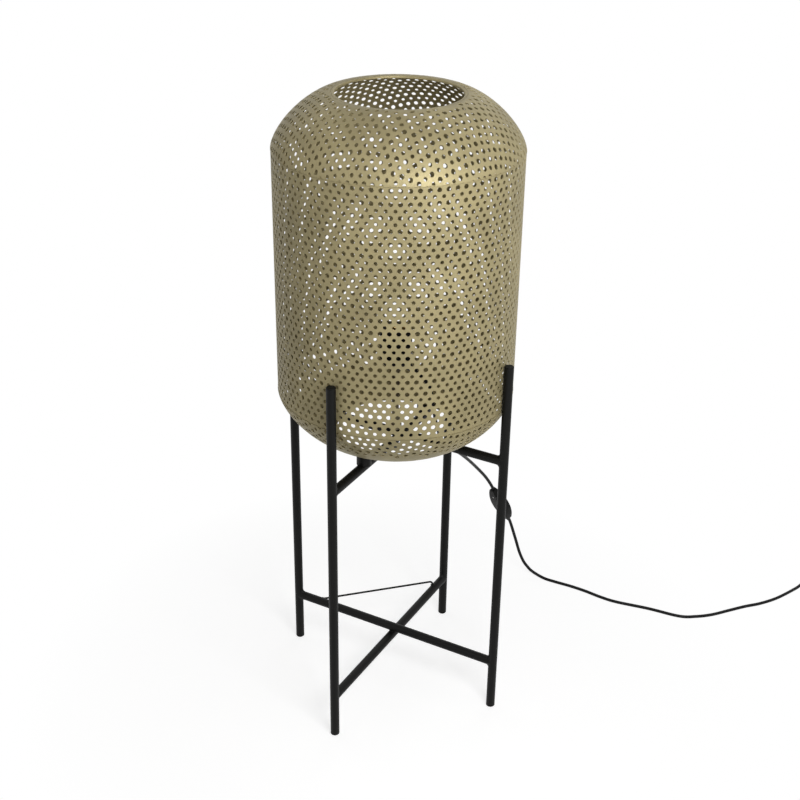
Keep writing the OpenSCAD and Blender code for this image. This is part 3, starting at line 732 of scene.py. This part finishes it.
def press_dome(bm, shade, sheet, profile, place):
    """Presses a flat ring into the dome. place(radius, height) gives radius and z."""
    stretch = profile[-1][2] / (sheet.radius - shade.opening)
    for v in bm.verts:
        away = math.hypot(v.co.x, v.co.y)
        r, h = on_profile(profile, (away - shade.opening) * stretch, -v.co.z)
        v.co = (v.co.x / away * r, v.co.y / away * r, place(h))
    bmesh.ops.recalc_face_normals(bm, faces=bm.faces[:])


def rim_band(bm, shade, place):
    """The plain flange round the opening, with its edge turned in."""
    joint = shade.opening + shade.edge
    bend, sheet = shade.bend, shade.sheet
    outside = [(joint, DOME_H), (shade.opening + bend, DOME_H)]
    for turned in (120, 150, 180):
        t = math.radians(turned)
        outside.append((shade.opening + bend + bend * math.cos(t),
                        DOME_H - bend + bend * math.sin(t)))
    outside.append((shade.opening, DOME_H - shade.lip))
    inner = shade.opening + sheet
    inside = [(inner, DOME_H - shade.lip), (inner, DOME_H - sheet * 1.2),
              (inner + sheet * 0.2, DOME_H - sheet), (joint, DOME_H - sheet)]
    revolve(bm, [(r, place(h)) for r, h in outside + inside], SHADE_SIDES)


class LAMP_OT_shade_domes(bpy.types.Operator):
    """Press the two domes of the shade from flat perforated sheet"""
    bl_idname = "lamp.shade_domes"
    bl_label = "Shade domes"

    def execute(self, context):
        shade = settings().shade
        profile = dome_profile(shade)
        domes = (("perforated_top", "shade_top", settings().top_blank,
                  lambda h: TOP_SEAM_Z + h),
                 ("perforated_base", "shade_base", settings().base_blank,
                  lambda h: SEAM_Z - h))
        for name, node, sheet, place in domes:
            bm = punched_blank(shade, sheet)
            press_dome(bm, shade, sheet, profile, place)
            rim_band(bm, shade, place)
            bmesh.ops.recalc_face_normals(bm, faces=bm.faces[:])
            dome = piece_from(bm, name, "shade_metal")
            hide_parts(node)
        return {"FINISHED"}


class LAMP_OT_seam_rings(bpy.types.Operator):
    """Join the domes to the wall by a narrow ring inside each seam"""
    bl_idname = "lamp.seam_rings"
    bl_label = "Seam rings"

    def execute(self, context):
        shade = settings().shade
        outer = SHADE_R - shade.ring_inset
        inner = outer - shade.ring_sheet
        bm = bmesh.new()
        for z in (SEAM_Z, TOP_SEAM_Z):
            low, high = z - shade.ring_width / 2, z + shade.ring_width / 2
            revolve(bm, [(inner, low), (outer, low), (outer, high), (inner, high)],
                    SHADE_SIDES)
        bmesh.ops.recalc_face_normals(bm, faces=bm.faces[:])
        piece_from(bm, "seam_rings", "shade_metal")
        return {"FINISHED"}


# ------------------------------------------------------------------ stand and small parts

class LAMP_OT_frame_finish(bpy.types.Operator):
    """Paint the stand and give every other solid its finish"""
    bl_idname = "lamp.frame_finish"
    bl_label = "Stand, holder, switch and plug"

    def execute(self, context):
        dress_nodes()
        return {"FINISHED"}


def saddle_weld(bm, place, fillet, sink):
    """A weld's fillet in the corner over a bar that meets a leg of the same size. place
    takes x from the leg's axis along the bar, y across it and z above the bar's axis."""
    tube = LEG_R - sink
    arc = 6
    made = bmesh.ops.create_grid(bm, x_segments=24, y_segments=arc + 2, size=0.5)
    for v in made["verts"]:
        turned = math.pi * (v.co.x + 0.5)
        up, across = math.sin(turned), math.cos(turned)
        step = round((arc + 2) * (v.co.y + 0.5))
        if step == arc + 1:
            # The line in which the tubes meet closes the back of the fillet
            point = Vector((-tube * up, tube * across, tube * up))
        else:
            middle = (tube + fillet) * Vector((-up, across, up))
            from_leg = Vector((up, -across, 0.0))
            from_bar = Vector((0.0, -across, -up))
            share = step % (arc + 2) / arc
            arm = from_leg.slerp(from_bar, share) if up > 0.001 else from_leg
            point = middle + fillet * arm
        v.co = place(point)


def blob(bm, place, size):
    """A rounded drop of weld."""
    scale = Matrix.Diagonal((*size, 1.0))
    bmesh.ops.create_uvsphere(bm, u_segments=20, v_segments=12, radius=1.0,
                              matrix=Matrix.Translation(place) @ scale)


class LAMP_OT_welds(bpy.types.Operator):
    """Weld the bars to the legs, the lower cross and the thin rod"""
    bl_idname = "lamp.welds"
    bl_label = "Welds"

    def execute(self, context):
        stand = settings().stand
        leg_circle = LEG_X * math.sqrt(2)
        bm = bmesh.new()
        for node, azimuth in (("lower_bar_a", 45), ("lower_bar_b", -45),
                              ("upper_bar_a", 45), ("upper_bar_b", -45)):
            low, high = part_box(node)
            z = (low.z + high.z) / 2
            for turned in (azimuth, azimuth + 180):
                swing = Matrix.Rotation(math.radians(turned), 3, "Z")
                for side in (1, -1):
                    saddle_weld(bm, lambda p: swing @ Vector((leg_circle + p.x, p.y,
                                                              z + side * p.z)),
                                stand.fillet, stand.sink)
        bmesh.ops.remove_doubles(bm, verts=bm.verts[:], dist=2 * MERGE)
        top_of_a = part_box("lower_bar_a")[1].z
        rod_low, rod_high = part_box("tie_rod")
        rod_y = (rod_low.y + rod_high.y) / 2
        # The crossing, and the two ends of the thin rod
        blob(bm, (0, 0, top_of_a), (5 * MM, 5 * MM, 1.4 * MM))
        blob(bm, (rod_high.x - 1.5 * MM, rod_y, top_of_a), (3 * MM, 3 * MM, 1.3 * MM))
        blob(bm, (rod_low.x + 2.5 * MM, rod_y, rod_high.z - 1.5 * MM),
             (2.4 * MM, 2.6 * MM, 2.6 * MM))
        bmesh.ops.recalc_face_normals(bm, faces=bm.faces[:])
        piece_from(bm, "welds", "stand_paint", angle=60)
        return {"FINISHED"}


class LAMP_OT_spacers(bpy.types.Operator):
    """Turn the two spacers that lift the shade off the lower of the upper bars"""
    bl_idname = "lamp.spacers"
    bl_label = "Spacers"

    def execute(self, context):
        stand = settings().stand
        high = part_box("shade_spacers")[1]
        radius, bore, edge = stand.spacer_radius, stand.spacer_bore, stand.spacer_edge
        middle = high.x - stand.spacer_in
        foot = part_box("upper_bar_a")[1].z - stand.spacer_seat
        profile = [(bore, foot), (radius - edge, foot), (radius, foot + edge),
                   (radius, high.z - edge), (radius - edge, high.z), (bore, high.z)]
        bm = bmesh.new()
        for side in (1, -1):
            revolve(bm, profile, 48)
            bmesh.ops.translate(bm, vec=(side * middle, side * middle, 0),
                                verts=[v for v in bm.verts if math.hypot(v.co.x, v.co.y)
                                       < radius + edge])
        bmesh.ops.recalc_face_normals(bm, faces=bm.faces[:])
        spacers = piece_from(bm, "spacers", "stand_paint")
        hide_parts("shade_spacers")
        return {"FINISHED"}


class LAMP_OT_lamp_thread(bpy.types.Operator):
    """Roll the thread into the shell that takes the lamp"""
    bl_idname = "lamp.lamp_thread"
    bl_label = "Lamp thread"

    def execute(self, context):
        low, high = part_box("lamp_thread_shell")
        thread = settings().thread
        bm = bmesh.new()
        bmesh.ops.create_grid(bm, x_segments=48, y_segments=64, size=0.5)
        for v in bm.verts:
            turned = v.co.x + 0.5
            rise = (v.co.y + 0.5) * (high.z - low.z)
            wave = 1 - math.cos(math.tau * (rise / thread.pitch - turned))
            r = high.x - thread.depth / 2 * wave
            v.co = (r * math.cos(math.tau * turned), r * math.sin(math.tau * turned),
                    low.z + rise)
        bmesh.ops.remove_doubles(bm, verts=bm.verts[:], dist=MERGE)
        inside = 1 - thread.sheet / high.x
        thicken(bm, lambda co: Vector((co.x * inside, co.y * inside, co.z)))
        shell = piece_from(bm, "rolled_thread", "brass", angle=60)
        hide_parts("lamp_thread_shell")
        return {"FINISHED"}


# ------------------------------------------------------------------ stage

def white_where_seen(material, surface, white):
    """Swaps a surface or background for a white one in camera, glossy and clear rays."""
    path = add(material, "ShaderNodeLightPath")
    seen = path.outputs["Is Camera Ray"]
    for ray in ("Is Glossy Ray", "Is Transmission Ray"):
        either = add(material, "ShaderNodeMath", operation="MAXIMUM")
        material.node_tree.links.new(seen, either.inputs[0])
        material.node_tree.links.new(path.outputs[ray], either.inputs[1])
        seen = either.outputs["Value"]
    mix = add(material, "ShaderNodeMixShader", [(seen, "Fac")])
    material.node_tree.links.new(surface, mix.inputs[1])
    material.node_tree.links.new(white, mix.inputs[2])
    return mix.outputs["Shader"]


def white_with_shadow(material, surface, reach, depth, lit):
    """White, less a share of the light that the lamp keeps off the surface. The share is
    depth at the middle and none past reach. lit is the brightness of the surface."""
    place = add(material, "ShaderNodeTexCoord")
    mapping = add(material, "ShaderNodeMapping", [(place.outputs["Object"], "Vector")])
    mapping.inputs["Scale"].default_value = (1 / reach, 1 / reach, 1 / reach)
    near = add(material, "ShaderNodeTexGradient", [(mapping.outputs["Vector"], "Vector")],
               gradient_type="SPHERICAL")
    share = add(material, "ShaderNodeMapRange", [(near.outputs["Fac"], "Value")])
    share.inputs["To Max"].default_value = depth
    left = add(material, "ShaderNodeMapRange", [(near.outputs["Fac"], "Value")])
    left.inputs["To Min"].default_value = 1.0
    left.inputs["To Max"].default_value = 1.0 - depth * lit
    white = add(material, "ShaderNodeEmission", [(left.outputs["Result"], "Strength")])
    none = add(material, "ShaderNodeEmission", Strength=0.0)
    part = add(material, "ShaderNodeMixShader", [(share.outputs["Result"], "Fac")])
    material.node_tree.links.new(none.outputs["Emission"], part.inputs[1])
    material.node_tree.links.new(surface, part.inputs[2])
    both = add(material, "ShaderNodeAddShader")
    material.node_tree.links.new(white.outputs["Emission"], both.inputs[0])
    material.node_tree.links.new(part.outputs["Shader"], both.inputs[1])
    return both.outputs["Shader"]


def area_light(name, place, target, size, power):
    light = bpy.data.lights.new(name, "AREA")
    light.shape = "RECTANGLE"
    light.size, light.size_y = size
    light.energy = power
    lamp = bpy.data.objects.new(name, light)
    lamp.visible_camera = False
    lamp.location = place
    lamp.rotation_euler = (Vector(target) - Vector(place)).to_track_quat("-Z", "Y").to_euler()
    bpy.context.scene.collection.objects.link(lamp)
    return lamp


class LAMP_OT_camera(bpy.types.Operator):
    """Set the camera at the angle of the product view"""
    bl_idname = "lamp.camera"
    bl_label = "Camera"

    def execute(self, context):
        view = settings().camera
        data = bpy.data.cameras.new("studio_camera")
        data.lens = view.lens
        data.sensor_width = 36.0
        camera = bpy.data.objects.new("studio_camera", data)
        turn = (Matrix.Rotation(-view.heading, 4, "Z")
                @ Matrix.Rotation(math.pi / 2 - view.dip, 4, "X")
                @ Matrix.Rotation(view.roll, 4, "Z"))
        camera.matrix_world = Matrix.Translation(view.place) @ turn
        context.scene.collection.objects.link(camera)
        context.scene.camera = camera
        return {"FINISHED"}


FLOOR_REACH = 6.0
FLOOR_LIT = 0.42
SHADOW_REACH = 0.55
SHADOW_DEPTH = 0.8
SKY = 0.05
# Name, place, height of the point on the lamp's axis that it faces, width and watts
STUDIO_LIGHTS = (
    ("near_front", (0.12, -0.95, 1.12), 0.8, 0.5, 9.5),
    ("near_left", (-0.953, -0.55, 1.2), 0.75, 0.5, 0.5),
    ("low_front", (0.347, -1.97, 0.25), 0.75, 1.0, 4.0),
    ("key_right", (1.955, -1.823, 2.012), 0.6, 1.6, 4.5),
    ("fill_left", (-2.819, -0.3, 1.676), 0.6, 1.6, 2.0),
    ("rim_back", (-1.149, 1.99, 2.578), 0.6, 1.6, 7.0),
    ("rim_right", (1.6, 1.9, 2.2), 0.6, 1.6, 7.0),
)


class LAMP_OT_stage(bpy.types.Operator):
    """Lay a white floor and light the studio"""
    bl_idname = "lamp.stage"
    bl_label = "Studio"

    def execute(self, context):
        scene = context.scene
        scene.view_settings.view_transform = "Standard"
        bm = bmesh.new()
        bmesh.ops.create_grid(bm, x_segments=1, y_segments=1, size=FLOOR_REACH)
        mesh = bpy.data.meshes.new("floor")
        bm.to_mesh(mesh)
        bm.free()
        floor = bpy.data.objects.new("floor", mesh)
        scene.collection.objects.link(floor)
        material = new_material("studio_floor", (0.8, 0.8, 0.8), 0.9)
        surface = shader_of(material).outputs["BSDF"]
        white = white_with_shadow(material, surface, SHADOW_REACH, SHADOW_DEPTH, FLOOR_LIT)
        material.node_tree.links.new(
            white_where_seen(material, surface, white),
            material.node_tree.nodes["Material Output"].inputs["Surface"])
        mesh.materials.append(material)
        world = bpy.data.worlds.new("studio")
        world.use_nodes = True
        scene.world = world
        sky = world.node_tree.nodes["Background"]
        sky.inputs["Color"].default_value = (1, 1, 1, 1)
        sky.inputs["Strength"].default_value = SKY
        white = add(world, "ShaderNodeEmission", Strength=1.0)
        world.node_tree.links.new(
            white_where_seen(world, sky.outputs["Background"], white.outputs["Emission"]),
            world.node_tree.nodes["World Output"].inputs["Surface"])
        for name, place, height, size, power in STUDIO_LIGHTS:
            area_light(name, place, (0, 0, height), (size, size), power)
        return {"FINISHED"}


# ------------------------------------------------------------------ panel and start

class LAMP_PT_panel(bpy.types.Panel):
    """The lamp's pieces, in the order in which they are made"""
    bl_idname = "LAMP_PT_panel"
    bl_label = "Lantern floor lamp"
    bl_space_type = "VIEW_3D"
    bl_region_type = "UI"
    bl_category = "Lamp"

    def draw(self, context):
        for operator in STEPS:
            self.layout.operator(operator.bl_idname)


STEPS = (LAMP_OT_camera, LAMP_OT_lead_tie, LAMP_OT_lead, LAMP_OT_frame_finish,
         LAMP_OT_shade_wall, LAMP_OT_shade_domes, LAMP_OT_seam_rings, LAMP_OT_spacers,
         LAMP_OT_welds, LAMP_OT_lamp_thread, LAMP_OT_stage)
CLASSES = (LampCamera, LampShade, LampTopBlank, LampBaseBlank, LampLead, LampStand, LampThread,
           LampFinish, LampSettings, *STEPS, LAMP_PT_panel)


def register():
    for made in CLASSES:
        bpy.utils.register_class(made)
    bpy.types.Scene.lantern_lamp = PointerProperty(type=LampSettings)


def unregister():
    del bpy.types.Scene.lantern_lamp
    for made in reversed(CLASSES):
        bpy.utils.unregister_class(made)


def main():
    """Makes the lamp and its studio."""
    register()
    for operator in STEPS:
        group, name = operator.bl_idname.split(".")
        getattr(getattr(bpy.ops, group), name)()


if __name__ == "__main__":
    main()
